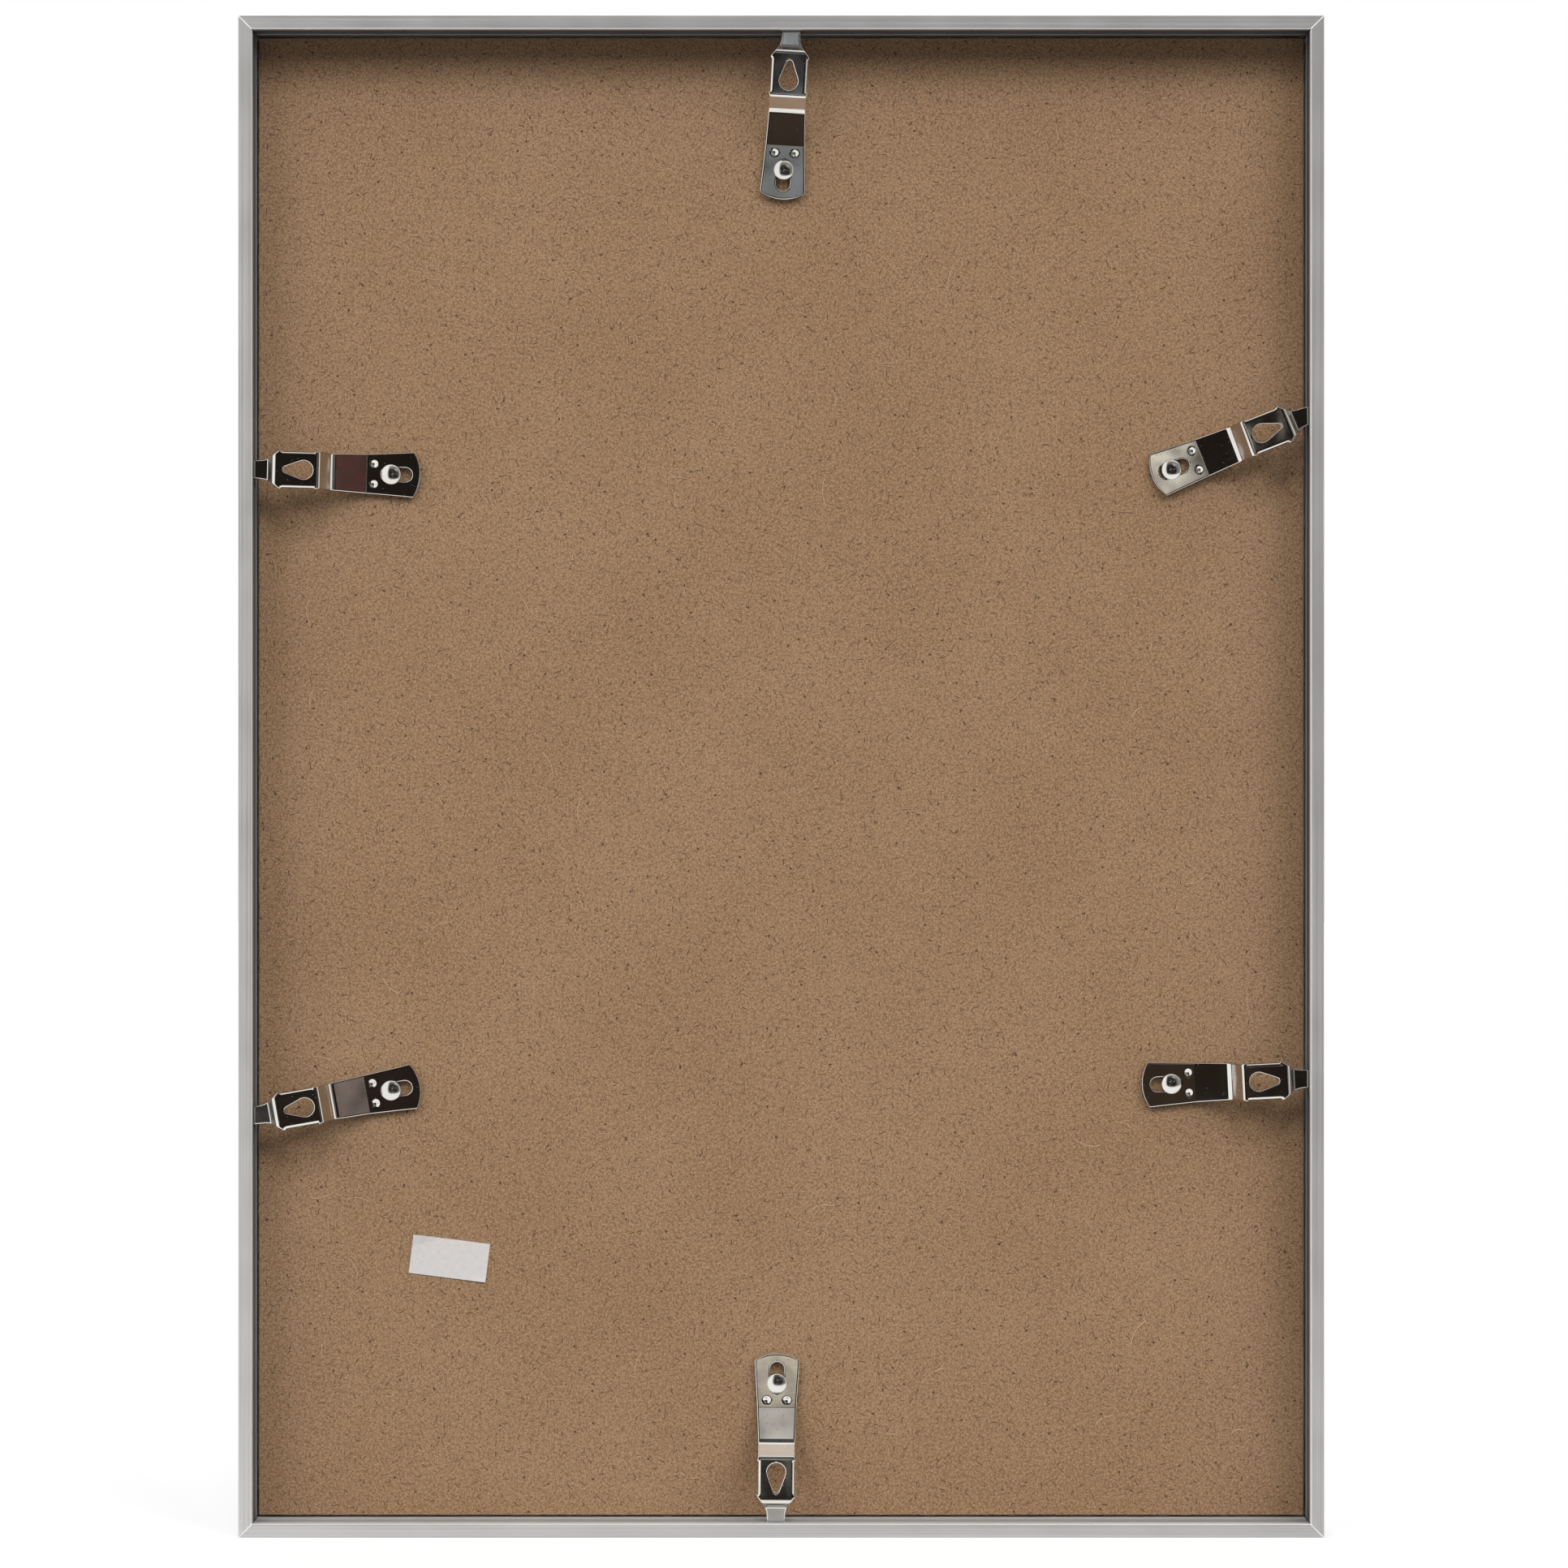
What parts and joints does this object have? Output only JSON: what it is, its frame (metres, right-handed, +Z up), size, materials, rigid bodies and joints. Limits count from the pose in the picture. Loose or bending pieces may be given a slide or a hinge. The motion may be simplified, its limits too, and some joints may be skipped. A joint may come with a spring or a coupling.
{
  "type": "poster frame",
  "caption": "Slim mitred metal poster frame with glass and a hardboard back, held in by riveted spring clips that swing and slide out of the rails and carry teardrop hanging holes.",
  "frame": {"origin": "middle of the top rail's flat back face, which lies against the wall", "axes": "+X right as the hung picture is seen from its front, +Y out of the back towards the wall, +Z up along the picture's long side"},
  "size_m": [0.3064, 0.0149, 0.4294],
  "materials": {
    "rail_aluminium": "satin, finely drawn along the rail",
    "key_steel": "plain",
    "nickel_steel": "bright nickel plate",
    "hardboard": "matt, fibrous",
    "picture_paper": "matt",
    "label_paper": "matt white",
    "clear_glass": "clear, polished"
  },
  "bodies": {
    "frame": {"rail_top": "rail_aluminium", "rail_bottom": "rail_aluminium", "rail_left": "rail_aluminium", "rail_right": "rail_aluminium", "corner_key_top_left": "key_steel", "corner_key_top_right": "key_steel", "corner_key_bottom_left": "key_steel", "corner_key_bottom_right": "key_steel", "glazing": "clear_glass", "picture_sheet": "picture_paper", "back_board": "hardboard", "blank_label": "label_paper"},
    "top_pivot": {"rivet_top": "nickel_steel"},
    "top_clip": {"clip_top": "nickel_steel"},
    "bottom_pivot": {"rivet_bottom": "nickel_steel"},
    "bottom_clip": {"clip_bottom": "nickel_steel"},
    "left_upper_pivot": {"rivet_left_upper": "nickel_steel"},
    "left_upper_clip": {"clip_left_upper": "nickel_steel"},
    "left_lower_pivot": {"rivet_left_lower": "nickel_steel"},
    "left_lower_clip": {"clip_left_lower": "nickel_steel"},
    "right_upper_pivot": {"rivet_right_upper": "nickel_steel"},
    "right_upper_clip": {"clip_right_upper": "nickel_steel"},
    "right_lower_pivot": {"rivet_right_lower": "nickel_steel"},
    "right_lower_clip": {"clip_right_lower": "nickel_steel"}
  },
  "joints": [
    {"name": "top_swing", "type": "hinge", "parent": "frame", "child": "top_pivot", "pos_m": [-0.00071, -0.0083, -0.0403], "axis": [0, 1, 0], "continuous": true},
    {"name": "top_slide", "type": "slide", "parent": "top_pivot", "child": "top_clip", "axis": [-0.0576, 0, 0.9983], "range_m": [-0.00085, 0.00095]},
    {"name": "bottom_swing", "type": "hinge", "parent": "frame", "child": "bottom_pivot", "pos_m": [0.0012, -0.0083, -0.3851], "axis": [0, 1, 0], "continuous": true},
    {"name": "bottom_slide", "type": "slide", "parent": "bottom_pivot", "child": "bottom_clip", "axis": [0.0087, 0, -1], "range_m": [-0.00085, 0.00095]},
    {"name": "left_upper_swing", "type": "hinge", "parent": "frame", "child": "left_upper_pivot", "pos_m": [-0.1109, -0.0083, -0.12549], "axis": [0, 1, 0], "range_deg": [0, 315]},
    {"name": "left_upper_slide", "type": "slide", "parent": "left_upper_pivot", "child": "left_upper_clip", "axis": [-0.9311, 0, 0.3649], "range_m": [-0.00335, 0.00045]},
    {"name": "left_lower_swing", "type": "hinge", "parent": "frame", "child": "left_lower_pivot", "pos_m": [-0.1109, -0.0083, -0.3], "axis": [0, 1, 0], "continuous": true},
    {"name": "left_lower_slide", "type": "slide", "parent": "left_lower_pivot", "child": "left_lower_clip", "axis": [-0.9988, 0, 0.0488], "range_m": [-0.00085, 0.00095]},
    {"name": "right_upper_swing", "type": "hinge", "parent": "frame", "child": "right_upper_pivot", "pos_m": [0.1109, -0.0083, -0.12682], "axis": [0, 1, 0], "continuous": true},
    {"name": "right_upper_slide", "type": "slide", "parent": "right_upper_pivot", "child": "right_upper_clip", "axis": [0.9997, 0, 0.0262], "range_m": [-0.00085, 0.00095]},
    {"name": "right_lower_swing", "type": "hinge", "parent": "frame", "child": "right_lower_pivot", "pos_m": [0.1109, -0.0083, -0.30189], "axis": [0, 1, 0], "continuous": true},
    {"name": "right_lower_slide", "type": "slide", "parent": "right_lower_pivot", "child": "right_lower_clip", "axis": [0.9848, 0, -0.1736], "range_m": [-0.00085, 0.00095]}
  ]
}
